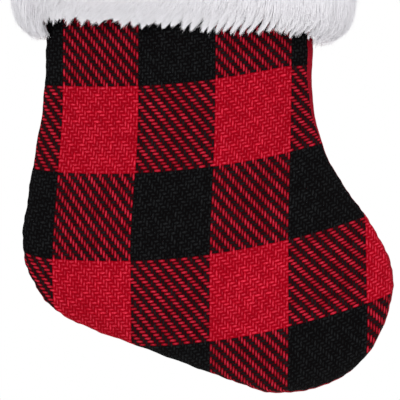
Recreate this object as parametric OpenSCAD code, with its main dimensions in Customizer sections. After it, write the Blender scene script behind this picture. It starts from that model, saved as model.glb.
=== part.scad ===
// Small hanging stocking: two cloth panels sewn into a boot-shaped bag, a lining bag inside it,
// a fur cuff in two halves that turns over the mouth, and a tape loop sewn into the heel-side corner.
// The front faces -Y, the toe points to +X, and the origin is where a hook bears on the loop.

/* [Bag] */
// Width of the leg from seam to seam
leg_width = 96; // [90:1:102]
// Depth of the filled leg from front to back
leg_depth = 30; // [26:1:34]
// Thickness of the two outer cloths
cloth_thick = 1.1; // [0.8:0.1:1.3]
// Thickness of the lining cloth
lining_thick = 0.4; // [0.3:0.1:0.6]
// Thickness of a turned-in seam allowance
allowance_thick = 0.6; // [0.4:0.1:0.7]
// Share of the half width that a seam allowance takes
allowance_share = 0.125; // [0.1:0.005:0.14]

/* [Cuff] */
// Height of the cuff on the outside
cuff_height = 55; // [46:1:62]
// Height of the fur that is turned down inside the mouth
facing_height = 18; // [12:1:24]
// Pile depth at the front and the back
pile_front = 12; // [9:0.5:14]
// Pile depth at the heel side
pile_heel_side = 13.5; // [11:0.5:16]
// Pile depth at the toe side
pile_toe_side = 16; // [12:0.5:18]
// Pile depth on the inside of the mouth
pile_inside = 3.5; // [3:0.5:5]
// Pile depth over the folded top edge
pile_top = 5; // [4:0.5:7]

/* [Hanging loop] */
// Width of the tape
tape_width = 6; // [5:0.5:7]
// Thickness of the tape
tape_thick = 0.8; // [0.6:0.1:0.9]
// Height of the loop from its fold line to the inside of its top
loop_height = 38; // [34:1:46]
// Radius of the eye, at the middle of the tape
eye_radius = 6.5; // [6:0.5:8]
// Length of tape that is sewn inside the corner
tape_sewn = 22; // [18:1:28]

/* [Thread] */
// Diameter of the sewing thread
thread_d = 0.4; // [0.3:0.1:0.5]
// Stitches between two stations of the outline
stitches_per_span = 5; // [4:1:7]

/* [Hidden] */

// Stations down the bag: the heel-side edge [x, z], then the instep-side edge [x, z], for a leg 96 wide.
// The last station is the tip of the toe, where both edges meet.
STATIONS = [
    [-48.4,   -6,  48.0,   -6],
    [-48.4,  -25,  48.0,  -25],
    [-48.3,  -43,  48.0,  -42],
    [-48.4,  -61,  47.8,  -58],
    [-49.6,  -79,  47.5,  -72],
    [-52.4,  -96,  49.2,  -85],
    [-55.0, -112,  52.8,  -96],
    [-56.9, -128,  57.6, -105],
    [-53.6, -141,  62.5, -112],
    [-45.4, -152,  66.8, -118],
    [-32.4, -159,  70.2, -123],
    [-16.0, -165,  73.2, -129],
    [  0.0, -171,  75.6, -134],
    [ 16.5, -177,  76.6, -139],
    [ 33.0, -182,  76.7, -145],
    [ 50.0, -180,  75.5, -151],
    [ 61.6, -174,  73.2, -158],
    [ 69.0, -166,  69.0, -166]];
SPANS = len(STATIONS) - 1;
drawn_width = 96;
bag_scale = leg_width / drawn_width;
mouth_z = STATIONS[0][1] * bag_scale;

rings_per_span = 2;
across = 16;         // facets across an outer panel
across_lining = 12;  // facets across a lining
fullness = 0.62;     // power of the cross-section: 0.5 is an ellipse, 1 a parabola
toe_start = 11;      // station where the bag starts to close towards the toe
lining_end = 15.5;   // station where the lining ends inside the toe
face_gap = 0.03;     // half the gap between the front and the back of a seam
lining_share = 0.835; // half width of the lining over that of the bag
lining_gap = 0.2;    // between the lining and the outer cloth, at the middle
least_allowance = 1.5; // width of a seam allowance near the tip of the toe, in millimetres
most_allowance = 0.9;  // largest share of the half width that an allowance takes there
least_inside = 0.3;    // smallest share of the half width left inside a panel
least_hollow = 0.1;    // smallest depth left inside a panel
clearance = 0.05;      // between an allowance and what lies on it
half_depth = leg_depth / 2;

// Catmull-Rom curve through a list of vectors, with t counted in list places.
function spline(p, t) =
    let (n = len(p), i = min(floor(t), n - 2), u = t - i,
         a = p[max(i - 1, 0)], b = p[i], c = p[i + 1], d = p[min(i + 2, n - 1)])
    0.5 * (2 * b + (c - a) * u + (2 * a - 5 * b + 4 * c - d) * u * u
           + (3 * b - a - 3 * c + d) * u * u * u);

function smooth(u) = let (v = min(max(u, 0), 1)) v * v * (3 - 2 * v);
function edges(t) = spline(STATIONS, t) * bag_scale;
function middle(t) = let (e = edges(t)) [(e[0] + e[2]) / 2, (e[1] + e[3]) / 2];
function half_way(t) = let (e = edges(t)) [(e[2] - e[0]) / 2, (e[3] - e[1]) / 2];
function closing(t, end) = let (u = max(0, (t - toe_start) / (end - toe_start))) sqrt(max(0, 1 - u * u));
function bulge(s) = pow(max(0, 1 - s * s), fullness);
// A point at share s of the half width at station t, y in front of or behind the seam plane.
function bag_point(t, s, y) = let (m = middle(t), w = half_way(t)) [m[0] + s * w[0], y, m[1] + s * w[1]];

// The stations of the rings, closer together where the bag closes at its end.
function ring_stations(end) = concat([for (i = [0:(end - 1) * rings_per_span]) i / rings_per_span],
                                     [for (u = [0.6, 0.8, 0.92, 0.98]) end - 1 + u]);

// The spaced shares from -1 to 1, closer together near the seams.
function shares(n) = [for (i = [0:n]) -cos(180 * i / n)];
function reversed(list) = [for (i = [len(list) - 1:-1:0]) list[i]];

// A closed solid through rings of the same number of points. The cap is a list of polygons that
// fills one ring, and closes both ends.
module loft(rings, cap, flip) {
    n = len(rings[0]);
    last = len(rings) - 1;
    points = [for (r = rings) for (p = r) p];
    sides = [for (i = [0:last - 1]) for (j = [0:n - 1])
        let (a = i * n + j, b = i * n + (j + 1) % n, c = b + n, d = a + n)
        for (f = [[a, b, c], [a, c, d]]) f];
    faces = concat(sides, [for (f = cap) reversed(f)], [for (f = cap) [for (j = f) last * n + j]]);
    polyhedron(points, flip ? [for (f = faces) reversed(f)] : faces, convexity = 8);
}

// Cap of a ring that runs out over k steps and comes back over k, with extra points at each end.
function band_cap(k, extra) = [for (i = [0:k - 1]) [i, i + 1, 2 * k + extra - i, 2 * k + extra + 1 - i]];

// One ring of an outer panel: the outside, and the inside with a turned-in allowance at each seam.
function panel_ring(t, side) =
    let (w = norm(half_way(t)), d = half_depth * closing(t, SPANS), top = face_gap + allowance_thick,
         inner = max(least_inside, 1 - cloth_thick / w), d_in = max(least_hollow, d - cloth_thick),
         tip = 1 - min(most_allowance, max(allowance_share, least_allowance / w)))
    concat(
        [for (s = shares(across)) bag_point(t, s, side * (face_gap + d * bulge(s)))],
        [bag_point(t, tip, side * face_gap), bag_point(t, tip, side * top)],
        [for (s = reversed(shares(across))) bag_point(t, s * inner,
            side * (abs(s) == 1 ? top : max(top + clearance, face_gap + d_in * bulge(s))))],
        [bag_point(t, -tip, side * top), bag_point(t, -tip, side * face_gap)]);

// One ring of a lining, a plain curved sheet.
function lining_ring(t, side) =
    let (d = max(2 * lining_thick, (half_depth - cloth_thick - lining_gap) * closing(t, lining_end)),
         inner = 1 - lining_thick / norm(half_way(t)) / lining_share)
    concat(
        [for (s = shares(across_lining)) bag_point(t, s * lining_share, side * (face_gap + d * bulge(s)))],
        [for (s = reversed(shares(across_lining))) bag_point(t, s * lining_share * inner,
            side * (face_gap + (d - lining_thick) * bulge(s)))]);

module outer_panel(side) {
    n = across;
    allowances = [[n, n + 1, n + 2, n + 3], [0, 2 * n + 3, 2 * n + 4, 2 * n + 5]];
    loft([for (t = ring_stations(SPANS)) panel_ring(t, side)],
         concat(band_cap(n, 2), allowances), side > 0);
}

module lining_panel(side) {
    loft([for (t = ring_stations(lining_end)) lining_ring(t, side)], band_cap(across_lining, 0), side > 0);
}

/* ---- cuff ---- */
around = 24;                      // facets along one half of the cuff
cuff_gap = 0.5;                   // between the cuff and the cloths that it turns over
corner = 9;                       // rounding of the cuff's outer edges
ring_fullness = 0.44;             // power of the cuff's outside, rounder than the bag inside it
notch = tape_thick * 2 + 0.25;    // half the slot left for the tape between the two halves
notch_start = -0.9;               // share of the half width at which the slot is fully open
notch_end = -0.65;                // share at which the two halves meet again
lip = 0.7;                        // share of the inner pile at the rounded ends of the facing
lip_top = 1.2;                    // depth below the top at which the inner pile has that share
lip_full = 4;                     // depth below the top at which the inner pile is full
lip_bottom = 2;                   // height above the facing's end at which it is full again
bag_half = leg_width / 2;
wrap_half = bag_half + cuff_gap;
wrap_depth = half_depth + cuff_gap;
facing_half = bag_half * lining_share - lining_thick - 3 * cuff_gap;
facing_depth = half_depth - cloth_thick - lining_gap - lining_thick - cuff_gap;

// The cuff's profile, each point [pile share, half width, half depth, z, half gap at the heel side].
// Pile share runs from 0 on the cloth to 1 on the outside, where the sides are deeper than the front.
OUTER = [for (a = [0:30:90]) [1 - corner / pile_front * (1 - sin(a)), wrap_half, wrap_depth,
                             -cuff_height + corner * (1 - cos(a)), face_gap]];
UPPER = [for (a = [0:30:90]) [1 - corner / pile_front * (1 - cos(a)), wrap_half, wrap_depth,
                             -corner * (1 - sin(a)), a < 90 ? face_gap : notch]];
FACING = [[0, facing_half, facing_depth, 0, notch],
          [-lip, facing_half, facing_depth, -lip_top, notch],
          [-1, facing_half, facing_depth, -lip_full, notch],
          [-1, facing_half, facing_depth, -facing_height + lip_bottom, notch],
          [-lip, facing_half, facing_depth, -facing_height, notch],
          [0, facing_half, facing_depth, -facing_height, notch],
          [0, facing_half, facing_depth, -pile_top, notch]];
WRAP = [[0, wrap_half, wrap_depth, -pile_top, notch],
        [0, wrap_half, wrap_depth, -pile_top - corner, face_gap],
        [0, wrap_half, wrap_depth, -cuff_height + corner, face_gap],
        [0, wrap_half, wrap_depth, -cuff_height, face_gap]];
CUFF_PROFILE = concat(OUTER, UPPER, FACING, WRAP);
// Polygons that fill the profile, by place in the list.
CUFF_CAP = [[18, 0, 1, 2, 3, 17], [17, 3, 4, 16], [16, 4, 15], [15, 4, 5, 6, 7], [15, 7, 8, 14],
            [14, 8, 9, 10], [14, 10, 11, 12, 13]];

function cuff_width(p, s) =
    p[1] + (p[0] < 0 ? p[0] * pile_inside : p[0] * (s < 0 ? pile_heel_side : pile_toe_side));
function cuff_depth(p) = p[2] + p[0] * (p[0] < 0 ? pile_inside : pile_front);
function cuff_bulge(p, s) = pow(max(0, 1 - s * s), fullness + (ring_fullness - fullness) * max(0, p[0]));
// The two halves part at the heel side, where the tape comes out between them.
function cuff_part(p, s) =
    face_gap + (p[4] - face_gap) * smooth((notch_end - s) / (notch_end - notch_start));
function cuff_point(p, s, side) =
    [s * cuff_width(p, s), side * norm([cuff_part(p, s), cuff_depth(p) * cuff_bulge(p, s)]), p[3]];

module cuff_half(side) {
    loft([for (s = shares(around)) [for (p = CUFF_PROFILE) cuff_point(p, s, side)]], CUFF_CAP, side > 0);
}

/* ---- hanging loop ---- */
fold_r = 1.3;             // half thickness of the two tape legs together at the fold line
fold_gap = 0.3;           // between the fold and the tape's ends below it
fold_z = fold_r + fold_gap; // fold line above the cuff's top
turn_share = 0.75;        // share of the eye's height over which the loop turns to face the front
corner_inset = 1.8;       // from the heel-side seam to the tape's edge
leg_rings = 14;
eye_rings = 12;
eye_z = loop_height - eye_radius + tape_thick / 2;  // centre of the eye above the fold line
leg_start = fold_r - tape_thick / 2;
loop_x = -bag_half + corner_inset + tape_width / 2;
tape_face = face_gap + allowance_thick + clearance; // where each sewn end lies on its allowance
hang_point = [loop_x, 0, fold_z + loop_height];

// Middle line of the loop as [offset from its axis, height above the fold line].
function leg_place(u) = [leg_start + (eye_radius - leg_start) * smooth(u), eye_z * u];
LOOP_LINE = concat(
    [for (i = [0:leg_rings]) leg_place(i / leg_rings)],
    [for (i = [1:eye_rings - 1]) let (a = 180 * i / eye_rings)
        [eye_radius * cos(a), eye_z + eye_radius * sin(a)]],
    [for (i = [leg_rings:-1:0]) let (p = leg_place(i / leg_rings)) [-p[0], p[1]]]);
// The loop is sewn flat, and turns a quarter on its way up so that its eye faces the front.
function turned(out, along, z) =
    let (a = 90 * smooth(z / (turn_share * eye_z)))
    [along * cos(a) - out * sin(a), along * sin(a) + out * cos(a), z];
function loop_ring(i) =
    let (n = len(LOOP_LINE), d = LOOP_LINE[min(i + 1, n - 1)] - LOOP_LINE[max(i - 1, 0)],
         normal = [d[1], -d[0]] / norm(d) * tape_thick / 2, p = LOOP_LINE[i],
         outer = i == 0 || i == n - 1 ? [p[0] + tape_thick / 2 * (i == 0 ? 1 : -1), 0] : p + normal,
         inner = i == 0 || i == n - 1 ? [p[0] - tape_thick / 2 * (i == 0 ? 1 : -1), 0] : p - normal)
    [turned(outer[0], -tape_width / 2, outer[1]), turned(outer[0], tape_width / 2, outer[1]),
     turned(inner[0], tape_width / 2, inner[1]), turned(inner[0], -tape_width / 2, inner[1])];

module hanging_loop() {
    color("firebrick") translate([loop_x, 0, fold_z]) union() {
        loft([for (i = [0:len(LOOP_LINE) - 1]) loop_ring(i)], [[0, 1, 2, 3]], false);
        rotate([0, 90, 0]) cylinder(h = tape_width, r = fold_r, center = true, $fn = 48);
    }
}

// The tape's two ends: joined just under the fold line, then one on each side of the allowances.
module loop_ends() {
    top = fold_z - fold_r - fold_gap;
    neck = 2;  // height over which the two ends are joined
    beyond = 1;
    color("firebrick") translate([loop_x - tape_width / 2, 0, 0]) {
        difference() {
            translate([0, -tape_face - tape_thick, -tape_sewn])
                cube([tape_width, 2 * (tape_face + tape_thick), top + tape_sewn]);
            translate([-beyond, -tape_face, -tape_sewn - beyond])
                cube([tape_width + 2 * beyond, 2 * tape_face, tape_sewn + beyond - neck]);
        }
    }
}

// A straight piece of thread that runs from front to back.
module thread(length) {
    rotate([90, 0, 0]) cylinder(h = length, d = thread_d, center = true, $fn = 16);
}

// Two rows of stitches through the tape's ends and both allowances.
module loop_bartack() {
    columns = 5;
    row_width = 0.6 * tape_width;
    lowest_row = 4;
    row_pitch = 6;
    proud = 0.75;  // thread beyond the tape on each side
    length = 2 * (tape_face + tape_thick + proud);
    color("white") for (row = [0, 1], i = [0:columns - 1]) {
        x = loop_x + (i / (columns - 1) - 0.5) * row_width;
        translate([x, 0, -tape_sewn + lowest_row + row_pitch * row]) thread(length);
    }
}

/* ---- cloth and thread ---- */
module front_panel() {
    color("red") outer_panel(-1);
}

module back_panel() {
    color("crimson") outer_panel(1);
}

module front_lining() {
    color("ivory") lining_panel(-1);
}

module back_lining() {
    color("ivory") lining_panel(1);
}

module front_cuff() {
    color("white") cuff_half(-1);
}

module back_cuff() {
    color("white") cuff_half(1);
}

// One stitch of thread across a seam, at share s of the half width.
module cross_stitch(t, s, length) {
    translate(bag_point(t, s, 0)) thread(length);
}

module side_seam_thread() {
    proud = 0.25;  // thread beyond each allowance
    length = 2 * (face_gap + allowance_thick + proud);
    seam_share = 1 - allowance_share / 2;
    first_heel_stitch = 7;  // the stitches above it are the tape's own
    color("darkred") for (i = [1:(SPANS - 1) * stitches_per_span]) {
        t = i / stitches_per_span;
        if (i > first_heel_stitch) cross_stitch(t, -seam_share, length);
        cross_stitch(t, seam_share, length);
    }
}

module lining_seam_thread() {
    length = 2.4;
    seam_share = lining_share - 0.01;
    last_station = SPANS - 3;
    color("white") for (i = [1:2:last_station * stitches_per_span], side = [-1, 1])
        cross_stitch(i / stitches_per_span, side * seam_share, length);
}

// Stitches that close the cuff's two side seams under the pile.
module cuff_seam_thread() {
    rows = 8;
    seam_x = wrap_half + 3;
    top_z = -12;
    bottom_z = -cuff_height + 6;
    length = 2.4;
    color("white") for (i = [0:rows - 1], x = [-seam_x, seam_x])
        translate([x, 0, top_z + i * (bottom_z - top_z) / (rows - 1)]) thread(length);
}

// Stitches round the mouth, through the facing, the lining, the outer cloth and the cuff's ground.
module mouth_seam_thread() {
    count = 15;
    seam_z = mouth_z - 6;
    widest = 0.8;   // share of the half width at the last stitch of each side
    middle_in = 0.6; // from the outside of the cloth to the middle of a stitch
    length = 4.5;
    color("white") for (i = [1:count], side = [-1, 1]) {
        s = -cos(180 * i / (count + 1)) * widest;
        slope = -2 * s * fullness * pow(1 - s * s, fullness - 1) * half_depth / bag_half;
        translate([s * bag_half, side * (half_depth * bulge(s) - middle_in), seam_z])
            rotate([0, 0, atan(side * slope)]) thread(length);
    }
}

translate(-hang_point) {
    hanging_loop();
    loop_ends();
    loop_bartack();
    front_panel();
    back_panel();
    front_lining();
    back_lining();
    front_cuff();
    back_cuff();
    side_seam_thread();
    lining_seam_thread();
    cuff_seam_thread();
    mouth_seam_thread();
}
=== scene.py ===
"""Looks of a small hanging stocking: a woven check front, a red felt back, a lining, a fur cuff
and a tape loop.

Shapes are worked out in the bag's own millimetres: x from the middle of the leg towards the toe,
y from the checked front to the back, and z up from the cuff's top. to_row() turns them into the row frame.
"""

import math

import bpy
import numpy as np
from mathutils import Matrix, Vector


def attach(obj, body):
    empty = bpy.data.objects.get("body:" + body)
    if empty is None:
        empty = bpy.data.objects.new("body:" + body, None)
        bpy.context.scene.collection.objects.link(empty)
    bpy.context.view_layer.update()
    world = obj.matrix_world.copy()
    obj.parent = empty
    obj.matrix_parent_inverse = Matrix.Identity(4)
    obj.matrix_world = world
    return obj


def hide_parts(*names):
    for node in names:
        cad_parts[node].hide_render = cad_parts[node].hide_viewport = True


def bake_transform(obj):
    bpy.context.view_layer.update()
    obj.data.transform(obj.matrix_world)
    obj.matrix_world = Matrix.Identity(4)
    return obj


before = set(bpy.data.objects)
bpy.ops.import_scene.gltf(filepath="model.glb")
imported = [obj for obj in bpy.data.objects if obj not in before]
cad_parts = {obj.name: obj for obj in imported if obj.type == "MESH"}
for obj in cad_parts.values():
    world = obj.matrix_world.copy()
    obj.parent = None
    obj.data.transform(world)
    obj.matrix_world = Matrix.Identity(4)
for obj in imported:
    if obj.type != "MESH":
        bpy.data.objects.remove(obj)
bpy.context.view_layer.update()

rng = np.random.default_rng(24)
TAU = 2 * math.pi
FOLD_Z = 1.6  # where the tape bends, just above the fur
LOOP_HEIGHT = 38  # from the fold to the hook
HANG_POINT = np.array([-43.2, 0.0, FOLD_Z + LOOP_HEIGHT])


def to_row(points):
    return (points - HANG_POINT) * 0.001


# ---------------------------------------------------------------- shape of the bag

# Heel-side edge x, z and instep-side edge x, z, down the bag to the tip of the toe.
STATIONS = np.array([
    [-48.4, -6, 48.0, -6],
    [-48.4, -25, 48.0, -25],
    [-48.3, -43, 48.0, -42],
    [-48.4, -61, 47.8, -58],
    [-49.6, -79, 47.5, -72],
    [-52.4, -96, 49.2, -85],
    [-55.0, -112, 52.8, -96],
    [-56.9, -128, 57.6, -105],
    [-53.6, -141, 62.5, -112],
    [-45.4, -152, 66.8, -118],
    [-32.4, -159, 70.2, -123],
    [-16.0, -165, 73.2, -129],
    [0.0, -171, 75.6, -134],
    [16.5, -177, 76.6, -139],
    [33.0, -182, 76.7, -145],
    [50.0, -180, 75.5, -151],
    [61.6, -174, 73.2, -158],
    [69.0, -166, 69.0, -166],
])
BAG_END = len(STATIONS) - 1
TOE_START = 11  # station from which the toe closes
HALF_DEPTH = 15.0
LEAST_HALF_DEPTH = 0.4
FULLNESS = 0.62  # power of the section: 0.5 is an ellipse, and more draws its edges to a point


def ramp(value, start, span):
    """0 up to start and 1 from a span further on, with a smooth rise between.
    A negative span turns it round."""
    v = np.clip((value - start) / span, 0, 1)
    return v * v * (3 - 2 * v)


def walk(points):
    """Distance walked to each point, along the last axis but one."""
    steps = np.linalg.norm(np.diff(points, axis=-2), axis=-1)
    return np.concatenate([np.zeros(steps.shape[:-1] + (1,)), np.cumsum(steps, -1)], -1)


def spline(rows, t):
    """Catmull-Rom curve through rows, at each t counted in rows."""
    last = len(rows) - 1
    i = np.clip(np.floor(t).astype(int), 0, last - 1)
    u = (t - i)[:, None]
    a, b, c, d = rows[np.maximum(i - 1, 0)], rows[i], rows[i + 1], rows[np.minimum(i + 2, last)]
    square, cube = 2 * a - 5 * b + 4 * c - d, 3 * b - a - 3 * c + d
    return 0.5 * (2 * b + (c - a) * u + square * u**2 + cube * u**3)


def bag_points(t, angle, share=1.0, inset=0.0, end=BAG_END):
    """Points of the bag at stations t (rows) and section angles (rows x columns).
    Angle 0 is the instep-side edge, 90 degrees the back, 180 the heel-side edge and 270 the front."""
    edge = spline(STATIONS, t)
    middle = (edge[:, :2] + edge[:, 2:]) / 2
    half = (edge[:, 2:] - edge[:, :2]) / 2 * share
    closing = np.sqrt(np.maximum(0, 1 - np.maximum(0, (t - TOE_START) / (end - TOE_START)) ** 2))
    depth = np.maximum(HALF_DEPTH * closing - inset, LEAST_HALF_DEPTH)[:, None]
    along = np.cos(angle)
    y = depth * np.sign(np.sin(angle)) * np.abs(np.sin(angle)) ** (2 * FULLNESS)
    return np.stack([middle[:, :1] + half[:, :1] * along, y, middle[:, 1:] + half[:, 1:] * along], -1)


def unit(v):
    return v / np.maximum(np.linalg.norm(v, axis=-1, keepdims=True), 1e-9)


def waves(points, size, seed):
    """Smooth random field of about unit height over points, with features of that size."""
    count = 10
    r = np.random.default_rng(seed)
    directions = unit(r.normal(size=(count, 3))) * (TAU / size) * r.uniform(0.6, 1.5, (count, 1))
    return np.sin(points @ directions.T + r.uniform(0, TAU, count)).sum(-1) / math.sqrt(count / 2)


# ---------------------------------------------------------------- meshes

def grid_quads(rows, columns, wrap=False):
    r, c = np.meshgrid(np.arange(rows - 1), np.arange(columns if wrap else columns - 1), indexing="ij")
    a, b = r * columns + c, r * columns + (c + 1) % columns
    return np.stack([a, b, b + columns, a + columns], -1).reshape(-1, 4)


def add_mesh(name, points, quads, material, uv=None, normals=None):
    """A mesh of quads through points in bag millimetres, with uv and normals given per point."""
    points = to_row(np.asarray(points, float).reshape(-1, 3))
    corners = np.ascontiguousarray(quads, np.int32).ravel()
    mesh = bpy.data.meshes.new(name)
    mesh.vertices.add(len(points))
    mesh.vertices.foreach_set("co", points.ravel())
    mesh.loops.add(len(corners))
    mesh.loops.foreach_set("vertex_index", corners)
    mesh.polygons.add(len(quads))
    mesh.polygons.foreach_set("loop_start", np.arange(0, len(corners), 4, dtype=np.int32))
    mesh.polygons.foreach_set("use_smooth", np.ones(len(quads), bool))
    mesh.update(calc_edges=True)
    if uv is not None:
        mesh.uv_layers.new(name="cloth").data.foreach_set("uv", uv.reshape(-1, 2)[corners].ravel())
    if normals is not None:
        mesh.normals_split_custom_set_from_vertices(normals.reshape(-1, 3))
    mesh.materials.append(material)
    piece = bpy.data.objects.new(name, mesh)
    bpy.context.scene.collection.objects.link(piece)
    return piece


# ---------------------------------------------------------------- materials

class Graph:
    """A procedural material, built from sockets and numbers."""

    def __init__(self, name, roughness, specular):
        self.material = bpy.data.materials.new(name)
        self.material.use_nodes = True
        self.tree = self.material.node_tree
        self.surface = self.tree.nodes["Principled BSDF"]
        self.put(self.surface.inputs["Roughness"], roughness)
        self.put(self.surface.inputs["Specular IOR Level"], specular)

    def put(self, socket, value):
        if isinstance(value, bpy.types.NodeSocket):
            self.tree.links.new(value, socket)
        else:
            socket.default_value = value

    def add(self, kind, inputs=(), **settings):
        node = self.tree.nodes.new("ShaderNode" + kind)
        for key, value in settings.items():
            setattr(node, key, value)
        for key, value in dict(inputs).items():
            self.put(node.inputs[key], value)
        return node

    def math(self, operation, a, b=0.0, c=0.0):
        return self.add("Math", {0: a, 1: b, 2: c}, operation=operation).outputs[0]

    def mix(self, factor, a, b):
        return self.add("Mix", {0: factor, 6: a, 7: b}, data_type="RGBA").outputs[2]

    def choose(self, factor, a, b):
        return self.add("Mix", {0: factor, 2: a, 3: b}, data_type="FLOAT").outputs[0]

    def scaled(self, colour, factor):
        colour = colour[:3] if isinstance(colour, tuple) else colour
        return self.add("VectorMath", {0: colour, 3: factor}, operation="SCALE").outputs[0]

    def vector(self, x, y, z=0.0):
        return self.add("CombineXYZ", {0: x, 1: y, 2: z}).outputs[0]

    def noise(self, vector, scale, detail):
        return self.add("TexNoise", {"Vector": vector, "Scale": scale, "Detail": detail}).outputs[0]

    def random(self, x, y, z):
        """A number from 0 to 1 that differs from yarn to yarn."""
        return self.add("TexWhiteNoise", {"Vector": self.vector(x, y, z)}, noise_dimensions="3D").outputs[0]

    def between(self, value, low, high):
        """A value from 0 to 1, taken to the range from low to high."""
        return self.add("MapRange", {0: value, 3: low, 4: high}).outputs[0]

    def step(self, value, low, high):
        """0 where value is at low, rising smoothly to 1 where it is at high."""
        return self.add("MapRange", {0: value, 1: low, 2: high}, interpolation_type="SMOOTHSTEP").outputs[0]

    def bump(self, height, distance, strength):
        node = self.add("Bump", {"Height": height, "Distance": distance, "Strength": strength})
        self.put(self.surface.inputs["Normal"], node.outputs[0])

    def sheen(self, weight, roughness, tint):
        self.put(self.surface.inputs["Sheen Weight"], weight)
        self.put(self.surface.inputs["Sheen Roughness"], roughness)
        self.put(self.surface.inputs["Sheen Tint"], tint)

    def colour(self, value):
        self.put(self.surface.inputs["Base Color"], value)


def rgba(r, g, b):
    return (r, g, b, 1.0)


def uv_yarns(g, per_unit=1.0):
    """The cloth's uv as two sockets, in yarns."""
    uv = g.add("UVMap", uv_map="cloth").outputs[0]
    parts = g.add("SeparateXYZ", {0: uv})
    return [g.math("MULTIPLY", parts.outputs[k], per_unit) for k in range(2)]


CRIMP = 0.35  # how far a yarn climbs and dives, over its own half thickness


def twill(g, u, v, wobble=0.0, warp_width=0.9, weft_width=0.9):
    """A 2/2 twill of warp yarns along v and weft yarns along u, round bars that climb over and dive.
    Returns 1 where the warp is on top, the height of the top yarn, the place across it, the place along its
    float from 0 to 1, and each yarn's and each float's own random number."""
    i, j = g.math("FLOOR", u), g.math("FLOOR", v)

    def yarn(position, passed, over, width):
        across = g.math("ADD", g.math("MULTIPLY_ADD", g.math("FRACT", position), 2.0, -1.0), wobble)
        share = g.math("ABSOLUTE", g.math("DIVIDE", across, width))
        rounded = g.math("SUBTRACT", 1.0, g.math("POWER", share, 2.0))
        rounded = g.math("SQRT", g.math("MAXIMUM", rounded, 0.0))
        climb = g.math("MULTIPLY", g.math("SINE", g.math("MULTIPLY", passed, math.pi / 2)), CRIMP * over)
        return across, g.math("ADD", rounded, climb)

    warp_passed = g.math("SUBTRACT", g.math("ADD", i, 1.0), v)
    weft_passed = g.math("SUBTRACT", u, j)
    warp_across, warp_height = yarn(u, warp_passed, 1, warp_width)
    weft_across, weft_height = yarn(v, weft_passed, -1, weft_width)
    warp_up = g.math("GREATER_THAN", warp_height, weft_height)
    height = g.math("MAXIMUM", warp_height, weft_height)
    across = g.choose(warp_up, weft_across, warp_across)
    moved = g.choose(warp_up, g.math("SUBTRACT", weft_passed, 2.0), warp_passed)
    turns = g.math("DIVIDE", g.math("ADD", moved, 1.0), 4.0)
    along = g.math("MULTIPLY", g.math("SUBTRACT", g.math("FRACT", turns), 0.25), 2.0)
    own = g.choose(warp_up, j, i)
    one_yarn = g.random(own, 3.0, warp_up)
    one_float = g.random(own, g.math("FLOOR", turns), g.math("ADD", warp_up, 5.0))
    return warp_up, height, across, along, one_yarn, one_float


ENDS_PER_CHECK = 28
PICKS_PER_CHECK = 26


def check_cloth():
    g = Graph("check_cloth", 0.9, 0.03)
    u, v = uv_yarns(g)
    place = g.vector(u, v)
    wobble = g.between(g.noise(place, 0.45, 3.0), -0.4, 0.4)

    def red_stripe(yarn, per_check):
        middle = g.math("ADD", g.math("FLOOR", yarn), 0.5)
        stripe = g.math("FLOOR", g.math("DIVIDE", middle, float(per_check)))
        return g.math("LESS_THAN", g.math("FLOORED_MODULO", stripe, 2.0), 0.5)

    red_weft, red_warp = red_stripe(v, PICKS_PER_CHECK), red_stripe(u, ENDS_PER_CHECK)
    widths = [g.choose(stripe, 1.0, 0.82) for stripe in (red_warp, red_weft)]
    warp_up, height, across, along, one_yarn, one_float = twill(g, u, v, wobble, *widths)
    red, red_under = g.choose(warp_up, red_weft, red_warp), g.choose(warp_up, red_warp, red_weft)
    fibre_place = g.vector(g.math("MULTIPLY", across, 2.2), g.math("MULTIPLY", along, 1.4),
                           g.math("MULTIPLY", one_float, 60.0))
    fibre = g.noise(fibre_place, 2.0, 3.0)
    level = g.math("ADD", height, g.between(one_float, -0.10, 0.10))
    # Where the top yarn lies low, body falls to 0 and the colour goes over to painted shade between the
    # yarns.
    body = g.step(level, 0.45, 1.2)
    # A painted highlight along the top yarn's crest, broken up by its fibres.
    painted_highlight = g.math("MULTIPLY", g.step(level, 1.0, 1.35), g.step(fibre, 0.3, 0.72))
    red_yarn = g.mix(painted_highlight, rgba(0.345, 0.0005, 0.008), rgba(0.69, 0.042, 0.084))
    black_yarn = g.mix(painted_highlight, rgba(0.0018, 0.0018, 0.0021), rgba(0.016, 0.017, 0.018))
    # Where the two colours cross, some fibres of each lie over the yarns of the other.
    mixed = g.math("ABSOLUTE", g.math("SUBTRACT", red_warp, red_weft))
    fuzz = g.mix(red, rgba(0.028, 0.001, 0.004), rgba(0.06, 0.002, 0.007))
    fuzzy = g.math("MULTIPLY", mixed, g.between(fibre, 0.08, 0.36))
    yarn = g.mix(fuzzy, g.mix(red, black_yarn, red_yarn), fuzz)
    own_shade = g.math("MULTIPLY", g.between(one_yarn, 0.88, 1.12), g.between(one_float, 0.87, 1.13))
    top = g.scaled(yarn, own_shade)
    # Between the yarns: the colour of the yarn beneath, darkened as painted shade.
    painted_red_gap_shade = g.mix(red, rgba(0.05, 0.001, 0.003), rgba(0.27, 0.0, 0.006))
    painted_gap_shade = g.mix(red_under, rgba(0.003, 0.0018, 0.002), painted_red_gap_shade)
    g.colour(g.mix(body, painted_gap_shade, top))
    g.bump(g.math("ADD", height, g.math("MULTIPLY", fibre, 0.3)), 0.00025, 0.7)
    return g.material


def felt():
    g = Graph("red_felt", 0.95, 0.03)
    place = g.add("TexCoord").outputs["Object"]
    fine, broad = g.noise(place, 1800, 4), g.noise(place, 240, 4)
    strand = g.add("TexNoise", {"Vector": place, "Scale": 700.0, "Detail": 3.0, "Distortion": 2.5}).outputs[0]
    relief = g.math("ADD", g.math("MULTIPLY", fine, 0.5), g.math("MULTIPLY", strand, 0.8))
    shade = g.math("MULTIPLY", g.between(relief, 0.35, 1.65), g.between(broad, 0.7, 1.3))
    g.colour(g.scaled(rgba(0.225, 0.004, 0.012), shade))
    g.bump(relief, 0.0005, 0.8)
    g.sheen(0.02, 0.6, rgba(1, 0.4, 0.4))
    return g.material


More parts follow.
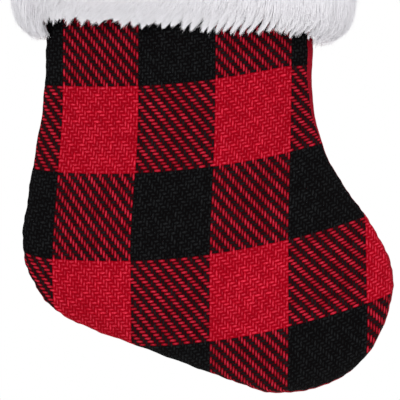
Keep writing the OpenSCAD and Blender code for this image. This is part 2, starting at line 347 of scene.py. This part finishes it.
def plain_weave(name, colour, per_mm):
    """A plain cloth of fine yarns: one colour, with the weave in its relief, and painted shade where its
    yarns lie low.
    """
    g = Graph(name, 0.85, 0.15)
    u, v = uv_yarns(g, per_mm)
    _, height, _, _, one_yarn, _ = twill(g, u, v)
    # The colour is darker where the yarns lie low: painted shade between them. Each yarn also has its own
    # random tone.
    shade = g.math("MULTIPLY", g.step(height, 0.2, 1.4), 0.4)
    shade = g.math("MULTIPLY", g.math("ADD", shade, 0.68), g.between(one_yarn, 0.92, 1.06))
    g.colour(g.scaled(rgba(*colour), shade))
    g.bump(height, 0.0001, 0.6)
    g.sheen(0.1, 0.5, rgba(1, 1, 1))
    return g.material


def fur_material():
    """White pile, with painted shade that greys it a little towards the roots, and each lock of its own tone.
    """
    g = Graph("faux_fur", 0.9, 0.05)
    lock, along = uv_yarns(g)
    place = g.add("TexCoord").outputs["Object"]
    shade = g.math("MULTIPLY", g.between(g.noise(place, 180, 3), 0.97, 1.03), g.between(lock, 0.93, 1.05))
    # Darker towards the roots, by the place along each strand from root to tip: painted shade deep in the
    # pile.
    shade = g.math("MULTIPLY", shade, g.between(along, 0.90, 1.03))
    g.colour(g.scaled(rgba(0.947, 0.936, 0.966), shade))
    return g.material


def thread_material(name, colour):
    g = Graph(name, 0.55, 0.3)
    place = g.add("TexCoord").outputs["Object"]
    twist = g.add("TexWave", {"Vector": place, "Scale": 900.0, "Distortion": 1.5}).outputs[1]
    # The colour follows the twist: painted shade in its grooves and a painted highlight on its ridges.
    g.colour(g.scaled(rgba(*colour), g.between(twist, 0.7, 1.1)))
    g.bump(twist, 0.00005, 0.8)
    return g.material


# ---------------------------------------------------------------- outer cloths

ROWS_PER_STATION = 16
COLUMNS = 112
EDGE_EASE = 0.35  # share of the columns' spacing that is drawn towards the seams
SEAM_DIP = 0.2  # how far the cloth is drawn in at a seam
PUCKER = 0.15  # height of the gathers beside a seam
BULGE = 0.3  # slow unevenness of the cloth away from its seams


def roll_angle(t, width):
    """The section angle that takes a seam the given width in from the bag's edge."""
    edge = spline(STATIONS, t)
    half = np.linalg.norm(edge[:, 2:] - edge[:, :2], axis=1) / 2
    return np.arccos(np.clip(1 - width / np.maximum(half, 1.5), 0.2, 1))


def instep_seam(t):
    """The back cloth comes round to the front down the leg, and less so round the toe."""
    leg = 1.35 * (1 - ramp(t, 3.6, 2.6)) + 0.5 * (1 - ramp(t, 2.8, 1.2))
    toe = 0.5 * ramp(t, 10, 2) + 0.4 * ramp(t, 14.5, 1.5)
    return TAU - roll_angle(t, 0.08 + leg + toe)


def heel_seam(t):
    """The seam is at the edge all down the heel side, and a little in front of it under the toe."""
    return math.pi + roll_angle(t, 0.5 * ramp(t, 13, 1.5))


def outer_grid(start, end):
    """Undisturbed points and displaced points of one outer cloth between two seam angles, and the
    distance of each point from the first seam."""
    t = np.append(np.linspace(0, BAG_END - 0.04, BAG_END * ROWS_PER_STATION), BAG_END - 0.004)
    eased = (1 - np.cos(np.linspace(0, math.pi, COLUMNS + 1))) / 2
    across = eased * EDGE_EASE + np.linspace(0, 1, COLUMNS + 1) * (1 - EDGE_EASE)
    angle = start(t)[:, None] + (end(t) - start(t))[:, None] * across
    flat = bag_points(t, angle)
    step = 1e-3
    over = bag_points(t, angle + step) - bag_points(t, angle - step)
    down = bag_points(np.minimum(t + step, BAG_END), angle) - bag_points(np.maximum(t - step, 0), angle)
    normal = unit(np.cross(over, down))
    middle = flat.mean(1, keepdims=True)
    normal *= np.sign(((flat - middle) * normal).sum((1, 2)))[:, None, None]

    walked = walk(flat)
    lift = np.zeros(flat.shape[:2])
    for column, distance in ((0, walked), (-1, walked[:, -1:] - walked)):
        along = walk(flat[:, column])
        wave = np.sin(along * TAU / 5.1 + 1.6 * np.sin(along / 13)) + 0.5 * np.sin(along * TAU / 2.9 + 1)
        slow = np.sin(along * TAU / 13.7 + 2.0 * np.sin(along / 29))
        gather = (wave * (0.6 + 0.4 * np.sin(along / 17)) + slow)[:, None]
        lift += PUCKER * gather * np.exp(-distance / 3.5)
        lift -= SEAM_DIP * np.exp(-(distance**2))
    lift *= ramp(walked[:, -1:], 0, 14)
    lift += BULGE * waves(flat, 34, 5) * ramp(np.minimum(walked, walked[:, -1:] - walked), 0, 12)
    return flat, flat + normal * lift[..., None], walked


CHECK_WIDTH = 28
CHECK_HEIGHT = 31
FIRST_COLUMN_X = -45.4
FIRST_ROW_Z = -72.3
ROLLED_COLUMN = 12  # up to this mesh column the cloth rolls round the bag's edge
COLUMN_LEAN = 3.5  # how far the first column leans near the cuff
LEAN_LOSS = 0.75  # how much less each further column leans
ROW_CURVE, ROW_LOW_X = 0.00188, -25.2  # rise of the rows to both sides of their lowest place
HEEL_CURVE, HEEL_CURVE_X = 0.012, -46  # further rise at the heel edge


def cloth_yarns(flat, walked):
    """Warp and weft numbers on the checked cloth. The columns lean near the cuff, and the rows rise
    towards the heel edge and the toe."""
    x, z = flat[..., 0], flat[..., 2]
    excess = walked - walk(flat[..., [0, 2]])
    centre = excess[:, COLUMNS // 2, None]
    kept = np.abs(excess - centre) - np.abs(excess[:, ROLLED_COLUMN, None] - centre)
    sideways = np.sign(excess - centre) * np.maximum(0, kept)
    direction = unit(flat[:, -1] - flat[:, 0])[:, None]
    x = x + sideways * direction[..., 0]
    z = z + sideways * direction[..., 2]
    lean_share = ramp(z, -134, 57)
    column = (x - FIRST_COLUMN_X) / CHECK_WIDTH
    for _ in range(4):  # each column leans by its own amount, so its number is found in rounds
        column = (x - FIRST_COLUMN_X - (COLUMN_LEAN - LEAN_LOSS * column) * lean_share) / CHECK_WIDTH
    rise = ROW_CURVE * (x - ROW_LOW_X) ** 2 + HEEL_CURVE * np.maximum(0, HEEL_CURVE_X - x) ** 2
    rise -= 1.1 * ramp(x, 36, 10) * ramp(z, -95, 25)
    row = (rise + FIRST_ROW_Z - z) / CHECK_HEIGHT
    return np.stack([column * ENDS_PER_CHECK, row * PICKS_PER_CHECK], -1)


def make_outer():
    flat, shown, walked = outer_grid(heel_seam, instep_seam)
    quads = grid_quads(len(flat), COLUMNS + 1)
    front = add_mesh("checked_front", shown, quads, check_cloth(), uv=cloth_yarns(flat, walked))
    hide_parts("front_panel")
    _, shown, _ = outer_grid(lambda t: instep_seam(t) - TAU, heel_seam)
    back = add_mesh("red_back", shown, quads, felt())
    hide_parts("back_panel")
    return [front, back]


LINING_END = 15.5  # station where the lining ends inside the toe
LINING_SHARE = 0.835  # half width of the lining over that of the bag
LINING_INSET = 1.3
LINING_SIZE = (220, 240)  # millimetres round the lining and down it, for its uv
TAPE_ROOM = 1.0  # how far the tape's sewn ends push the lining in


def make_lining():
    t = np.append(np.linspace(0, LINING_END - 0.1, 90), LINING_END - 0.01)
    turns = 96
    angle = np.tile(np.linspace(0, TAU, turns, endpoint=False), (len(t), 1))
    flat = bag_points(t, angle, share=LINING_SHARE, inset=LINING_INSET, end=LINING_END)
    centre = flat.mean(1, keepdims=True)
    creases = (0.25 + 0.35 * waves(flat, 16, 8)) * ramp(t, 0, 2)[:, None]
    by_tape = ramp(flat[..., 0], -36, -3) * ramp(flat[..., 2], -27, 4)
    shown = flat + unit(centre - flat) * (creases + TAPE_ROOM * by_tape)[..., None]
    around = np.linspace(0, LINING_SIZE[0], turns, endpoint=False)
    uv = np.stack(np.meshgrid(around, np.linspace(0, LINING_SIZE[1], len(t))), -1)
    lining = add_mesh("lining_bag", shown, grid_quads(len(t), turns, wrap=True),
                      plain_weave("lining_cloth", (0.78, 0.75, 0.68), 3.0), uv=uv)
    solid = lining.modifiers.new("thickness", "SOLIDIFY")
    solid.thickness = 0.0004
    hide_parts("front_lining", "back_lining")
    return [lining]


# ---------------------------------------------------------------- fur cuff

# The surface where the pile ends, from inside the mouth over the top to the hem:
# half width at the heel side and at the toe side, half depth, power of the section, z.
PILE_SURFACE = np.array([
    [37.0, 37.0, 10.2, 0.62, -18.0],
    [35.6, 35.6, 9.2, 0.62, -14.5],
    [35.4, 35.4, 9.0, 0.62, -6.0],
    [37.4, 37.4, 10.8, 0.61, -1.6],
    [42.0, 42.0, 14.6, 0.59, -0.1],
    [50.0, 51.0, 19.6, 0.54, -0.2],
    [57.0, 59.0, 24.0, 0.48, -2.8],
    [61.0, 63.2, 26.6, 0.45, -8.5],
    [61.8, 64.3, 27.3, 0.44, -18.0],
    [61.8, 64.3, 27.3, 0.44, -32.0],
    [61.4, 64.0, 26.6, 0.44, -41.0],
    [59.8, 62.4, 24.0, 0.46, -47.5],
    [57.2, 59.4, 20.6, 0.49, -51.4],
    [53.4, 54.6, 17.0, 0.54, -54.0],
])
HEM_Z = -54.0
FRONT_HEM_Z = -51.8
HEM_SLOPE = 0.055  # drop of the front's hem over each millimetre towards the toe side
HEEL_LOBE_Z = -53.8
TOE_LOBE_Z = -56.0
HEM_HALF_WIDTH = 54
CLOTH_HALF_WIDTH = 46.6  # just inside the cloth's edge, where the hem's innermost strands end
RING_Q = 45.0  # a place on the outside of the cuff, where its section is measured
PILE_CURVE = spline(PILE_SURFACE, np.linspace(0, len(PILE_SURFACE) - 1, 400))
PILE_LENGTHS = walk(PILE_CURVE[:, [1, 4]])
PILE_END = PILE_LENGTHS[-1]


def on_lobe(theta):
    """1 at the two sides of the cuff, where the pile stands clear of the leg's edges, and 0 between."""
    return ramp(np.abs(np.cos(theta)), 0.872, 0.045)


def hem_height(x, theta):
    """Lowest point of the pile. It rises towards the heel side on the front, and hangs lower at both
    sides."""
    front = FRONT_HEM_Z - HEM_SLOPE * x + 0.4 * np.exp(-(((x + 42) / 12) ** 2))
    lobe = np.where(x < 0, HEEL_LOBE_Z, TOE_LOBE_Z)
    face = np.where(np.sin(theta) < 0, front, HEM_Z)
    return face + (lobe - face) * on_lobe(theta)


def pile_point(q, theta, follow_hem=1.0, inset=0.0):
    """Point of the pile's surface, q millimetres along from inside the mouth and theta round the section.
    An inset brings it in towards the cloth, as a share of its distance from the bag's middle."""
    heel, toe, depth, power, z = (np.interp(q, PILE_LENGTHS, PILE_CURVE[:, k]) for k in range(5))
    c, s = np.cos(theta), np.sin(theta)
    x = c * np.where(c < 0, heel, toe) * (1 - inset)
    y = depth * np.sign(s) * np.abs(s) ** (2 * power) * (1 - inset)
    z = z + (hem_height(x, theta) - HEM_Z) * ramp(z, -34, -18) * follow_hem
    return np.stack([x, y, z], -1)


def pile_normal(q, theta):
    dq, turn = 0.3, 0.02
    down = pile_point(q + dq, theta, 0) - pile_point(q - dq, theta, 0)
    over = pile_point(q, theta + turn, 0) - pile_point(q, theta - turn, 0)
    return unit(np.cross(down, over))


def even_theta(count):
    """Angles spread evenly by length round the cuff, in random order, and the cuff's mean radius."""
    theta = np.linspace(0, TAU, 2001)
    length = walk(pile_point(np.full(len(theta), RING_Q), theta))
    return np.interp(rng.uniform(0, length[-1], count), length, theta), length[-1] / TAU


def make_fur_ground(material):
    """The dense inner part of the pile, which closes against the cloth above the hem."""
    q = np.linspace(0.5, PILE_END - 7.0, 110)
    turns = 240
    theta = np.linspace(0, TAU, turns, endpoint=False)
    qq, tt = np.meshgrid(q, theta, indexing="ij")
    surface = pile_point(qq, tt)
    normal = pile_normal(qq, tt)
    under = 1.3 + 0.8 * ramp(qq - PILE_END, -16, 10)
    body = surface - normal * under[..., None]
    body += normal * (0.2 * waves(body, 7, 3))[..., None]
    last = body[-1]
    closed = [last * [share, share, 1] + [0, 0, rise] for share, rise in ((0.95, 0.8), (0.86, 2.5))]
    body = np.concatenate([body, closed])
    # A fixed uv gives the ground the painted shade that the strands have a little way out from their roots.
    uv = np.full(body.shape[:2] + (2,), 0.3)
    return add_mesh("fur_ground", body, grid_quads(len(body), turns, wrap=True), material, uv=uv)


def ribbons(name, centre, normal, half_width, shading, lock, material):
    """Flat tapered strands along centre (strands x points), facing normal and shaded as shading says."""
    strands, points = centre.shape[:2]
    along = unit(np.gradient(centre, axis=1))
    taper = half_width[:, None] * np.linspace(1, 0.2, points)[None]
    side = unit(np.cross(along, normal)) * taper[..., None]
    corners = np.stack([centre - side, centre + side], 2)
    first = (np.arange(strands) * points * 2)[:, None] + 2 * np.arange(points - 1)[None]
    quads = np.stack([first, first + 1, first + 3, first + 2], -1).reshape(-1, 4)
    # The uv's second part runs from root to tip and sets the fur's painted shade towards the roots.
    uv = np.stack(np.broadcast_arrays(lock[:, None, None], np.linspace(0, 1, points)[None, :, None]), -1)
    uv, shading = np.repeat(uv, 2, 2), np.repeat(shading[:, :, None], 2, 2)
    return add_mesh(name, corners, quads, material, uv=uv, normals=shading)


def lean(x):
    """Sideways lean of the pile, as a share of its length: more at the heel side than at the toe side."""
    return 0.12 + 0.50 * ramp(x, 30, -75) - 0.3 * ramp(x, 22, 25)


LOCK_WIDTH = 1.4
TUFT_WIDTH = 2.6
MEAN_HALF_WIDTH = 60
PARTING_X = -26  # where the front's hem parts
PARTING_WIDTH = 2.6
PARTING_DEPTH = 5.0
STRAND_POINTS = 4
STRAND_HALF_WIDTH = 0.08


def tuft_numbers(tuft):
    """Two numbers from 0 to 1 that belong to each tuft."""
    one = np.modf(np.abs(np.sin(tuft * 78.233 + 3.1)) * 43758.5453)[0]
    return one, np.modf(one * 917.13)[0]


def strands(name, q, length, theta, inset, radius, material):
    """Pile that starts under the surface and lies along it towards the hem, where it gathers into tufts."""
    n = len(q)
    steps = np.linspace(0, 1, STRAND_POINTS)[None, :]
    x = MEAN_HALF_WIDTH * np.cos(theta)
    lobe = on_lobe(theta)
    root_arc = theta * radius
    end = np.minimum(q + length, PILE_END + 1)
    tip_arc = root_arc + (lean(x) + rng.normal(0, 0.08, n)) * (end - q) * np.sin(theta)
    near_hem = ramp(end - PILE_END, -11, 6)
    tip_arc += 0.4 * lean(x) * (end - q) * near_hem * np.sin(theta)
    shift = 3 * np.sin(end / 2.1)
    lock = np.floor(tip_arc / LOCK_WIDTH + shift)
    tip_arc += ((lock + 0.5 - shift) * LOCK_WIDTH - tip_arc) * rng.uniform(0, 0.5, n)
    tuft = np.floor(tip_arc / TUFT_WIDTH)
    one, two = tuft_numbers(tuft)
    pull = near_hem * rng.uniform(0.0, 1.0, n) ** 0.4 * (1 - 0.5 * lobe)
    middle = (tuft + 0.05 + 0.9 * one) * TUFT_WIDTH
    tip_arc = tip_arc + (middle - tip_arc) * pull
    gathered = rng.uniform(0.45, 1.0, n) * (0.6 + 0.4 * two) * ramp(q - PILE_END, -12, 6)
    gathered = gathered * (1 - 0.7 * lobe)
    root_arc = root_arc + (middle - 1.3 * lean(x) * (PILE_END - q) * np.sin(theta) - root_arc) * gathered
    from_parting = (HEM_HALF_WIDTH * np.cos(tip_arc / radius) - PARTING_X) / PARTING_WIDTH
    parting = PARTING_DEPTH * np.exp(-(from_parting**2)) * (np.sin(theta) < 0)
    short = (4.0 * two**2 + parting) * (1 - 0.8 * lobe)
    end = np.minimum(end, PILE_END - short + 1.6 - rng.exponential(1.7, n))
    qs = q[:, None] + (end - q)[:, None] * steps
    bend = rng.normal(0, 0.12, n)[:, None] * np.sin(math.pi * steps)
    thetas = (root_arc[:, None] + (tip_arc - root_arc)[:, None] * steps**1.5 + bend) / radius
    inside = np.minimum(qs, PILE_END)
    normal = pile_normal(inside, thetas)
    root_depth, tip_depth = rng.uniform(1.3, 2.4, n)[:, None], rng.uniform(-0.1, 0.35, n)[:, None]
    depth = root_depth * (1 - steps) ** 1.5 + tip_depth * steps
    stray = np.minimum(rng.exponential(0.45, n), 1.5) * (rng.uniform(0, 1, n) < 0.25)
    depth = depth - stray[:, None] * steps**2
    centre = pile_point(inside, thetas, inset=inset[:, None]) - normal * depth[..., None]
    centre[..., 2] -= qs - inside
    shading = normal * [1, 1, 0.3] + [0, 0, 0.12]
    shading = unit(unit(shading) + rng.normal(0, 0.03, (n, 1, 3)))
    lock_shade = 0.6 * tuft_numbers(lock + 0.37 * np.floor(q / 7))[0] + 0.4 * rng.uniform(0, 1, n)
    half_width = STRAND_HALF_WIDTH * rng.uniform(0.6, 1.4, n)
    return ribbons(name, centre, normal, half_width, shading, lock_shade, material)


WALL_STRANDS = 94000
HEM_STRANDS = 18000  # more strands near the hem, where the pile ends in tufts
LOWER_BAND = 26  # length of pile, up from the hem, that the lower pieces of fur cover


def make_cuff():
    material = fur_material()
    ground = make_fur_ground(material)
    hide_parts("front_cuff", "back_cuff")
    pieces = [ground]
    theta, radius = even_theta(WALL_STRANDS + HEM_STRANDS)
    q = rng.uniform(0.5, PILE_END - 4, WALL_STRANDS)
    q = np.concatenate([q, PILE_END - 4.0 - rng.uniform(0, 1, HEM_STRANDS) * 8])
    length = rng.uniform(6.5, 9.5, WALL_STRANDS + HEM_STRANDS)
    # At the lobes the hem's strands fill the room between the pile's surface and the cloth's edge.
    to_cloth = np.clip(1 - CLOTH_HALF_WIDTH / (HEM_HALF_WIDTH * np.abs(np.cos(theta))), 0, 1) * on_lobe(theta)
    inset = np.concatenate([np.zeros(WALL_STRANDS), rng.uniform(0, 1, HEM_STRANDS)]) * to_cloth
    faces = (("front", np.sin(theta) < 0), ("back", np.sin(theta) >= 0))
    bands = (("upper", q < PILE_END - LOWER_BAND), ("lower", q >= PILE_END - LOWER_BAND))
    for face, on_face in faces:
        for band, in_band in bands:
            chosen = on_face & in_band
            own = (values[chosen] for values in (q, length, theta, inset))
            pieces.append(strands(f"fur_{face}_{band}", *own, radius, material))
    return pieces


# ---------------------------------------------------------------- hanging loop

TAPE_WIDTH = 6.0
TAPE_THICK = 0.8
TAPE_SEWN = 22  # how far each end reaches below the cuff's top
EYE_RADIUS = 6.5
EYE_Z = LOOP_HEIGHT - EYE_RADIUS + TAPE_THICK / 2
LEG_START = 0.9  # half the distance between the two ends


def make_loop():
    u = np.linspace(0, 1, 60)
    leg = np.stack([LEG_START + (EYE_RADIUS - LEG_START) * ramp(u, 0, 1), EYE_Z * u], 1)
    a = np.linspace(0, math.pi, 40)[1:-1]
    eye = np.stack([EYE_RADIUS * np.cos(a), EYE_Z + EYE_RADIUS * np.sin(a)], 1)
    sewn = np.stack([np.full(20, LEG_START), np.linspace(-TAPE_SEWN - FOLD_Z, -0.5, 20)], 1)
    line = np.concatenate([sewn, leg, eye, (leg * [-1, 1])[::-1], (sewn * [-1, 1])[::-1]])
    direction = unit(np.gradient(line, axis=0))
    outward = np.stack([direction[:, 1], -direction[:, 0]], 1)
    across = np.linspace(-1, 1, 13)
    half_thick = TAPE_THICK / 2 * (1 - 0.55 * np.abs(across) ** 8)
    face = np.stack([across, half_thick], 1)
    section = np.concatenate([face, (face * [1, -1])[::-1]])
    out = line[:, None, 0] + outward[:, None, 0] * section[None, :, 1]
    height = line[:, None, 1] + outward[:, None, 1] * section[None, :, 1]
    side = np.broadcast_to(section[None, :, 0] * TAPE_WIDTH / 2, out.shape)
    turn = math.pi / 2 * ramp(height, 0, 0.75 * EYE_Z)
    x = side * np.cos(turn) - out * np.sin(turn)
    y = side * np.sin(turn) + out * np.cos(turn)
    points = np.stack([x + HANG_POINT[0], y, height + FOLD_Z], -1)
    uv = np.stack([side + TAPE_WIDTH, np.broadcast_to(walk(line)[:, None], out.shape)], -1)
    tape = add_mesh("tape_loop", points, grid_quads(len(line), section.shape[0], wrap=True),
                    plain_weave("twill_tape", (0.36, 0.006, 0.018), 2.6), uv=uv)
    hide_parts("hanging_loop", "loop_ends")
    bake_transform(tape)


# ---------------------------------------------------------------- build

for made in make_outer() + make_lining() + make_cuff():
    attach(made, "stocking")
make_loop()

THREADS = (
    ("thread_white", (0.8, 0.8, 0.78), ("lining_seam_thread", "cuff_seam_thread", "mouth_seam_thread")),
    ("thread_red", (0.22, 0.01, 0.02), ("loop_bartack", "side_seam_thread")),
)
for name, colour, sewn_nodes in THREADS:
    thread = thread_material(name, colour)
    for node in sewn_nodes:
        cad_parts[node].data.materials.clear()
        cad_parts[node].data.materials.append(thread)

# ---------------------------------------------------------------- studio

scene = bpy.context.scene
scene.view_settings.view_transform = "Standard"


def area_light(name, place, aim, size, power):
    lamp = bpy.data.lights.new(name, "AREA")
    lamp.shape, lamp.size, lamp.energy = "DISK", size, power
    light = bpy.data.objects.new(name, lamp)
    light.location = place
    light.rotation_euler = (Vector(aim) - Vector(place)).to_track_quat("-Z", "Y").to_euler()
    scene.collection.objects.link(light)


VIEW_CENTRE = to_row(np.array([7.2, 0.0, -112.6]))
LIGHTS = (  # name, place from the view's centre in metres, size, power
    ("key", [-0.5, -1.1, 0.8], 0.9, 6.5),
    ("fill", [0.9, -0.9, 0.1], 0.9, 3.2),
    ("top", [0.0, 0.1, 1.1], 0.8, 4),
    ("rear", [0.2, 1.2, 0.4], 0.9, 4),
)
for name, offset, size, power in LIGHTS:
    area_light(name, VIEW_CENTRE + offset, VIEW_CENTRE, size, power)

world = bpy.data.worlds.new("studio")
scene.world = world
world.use_nodes = True
nodes, links = world.node_tree.nodes, world.node_tree.links
light_path = nodes.new("ShaderNodeLightPath")
strength = nodes.new("ShaderNodeMapRange")
# The cloth is lit by a little less than the white that the camera sees.
strength.inputs["To Min"].default_value = 0.78
strength.inputs["To Max"].default_value = 1.0
links.new(light_path.outputs["Is Camera Ray"], strength.inputs["Value"])
nodes["Background"].inputs["Color"].default_value = rgba(1, 1, 1)
links.new(strength.outputs[0], nodes["Background"].inputs["Strength"])

floor_place = VIEW_CENTRE + [0, 0, -0.175]
bpy.ops.mesh.primitive_cylinder_add(vertices=128, radius=0.55, depth=0.01, location=floor_place)
floor = bpy.context.object
floor.name = "floor"
pale = Graph("pale_floor", 0.8, 0.2)
pale.colour(rgba(0.86, 0.86, 0.86))
floor.data.materials.append(pale.material)

camera_data = bpy.data.cameras.new("camera")
camera_data.sensor_width = 36
camera_data.lens = 250
camera = bpy.data.objects.new("camera", camera_data)
scene.collection.objects.link(camera)
camera.location = VIEW_CENTRE + [0, -1.0, 0]
camera.rotation_euler = (math.pi / 2, 0, 0)
scene.camera = camera
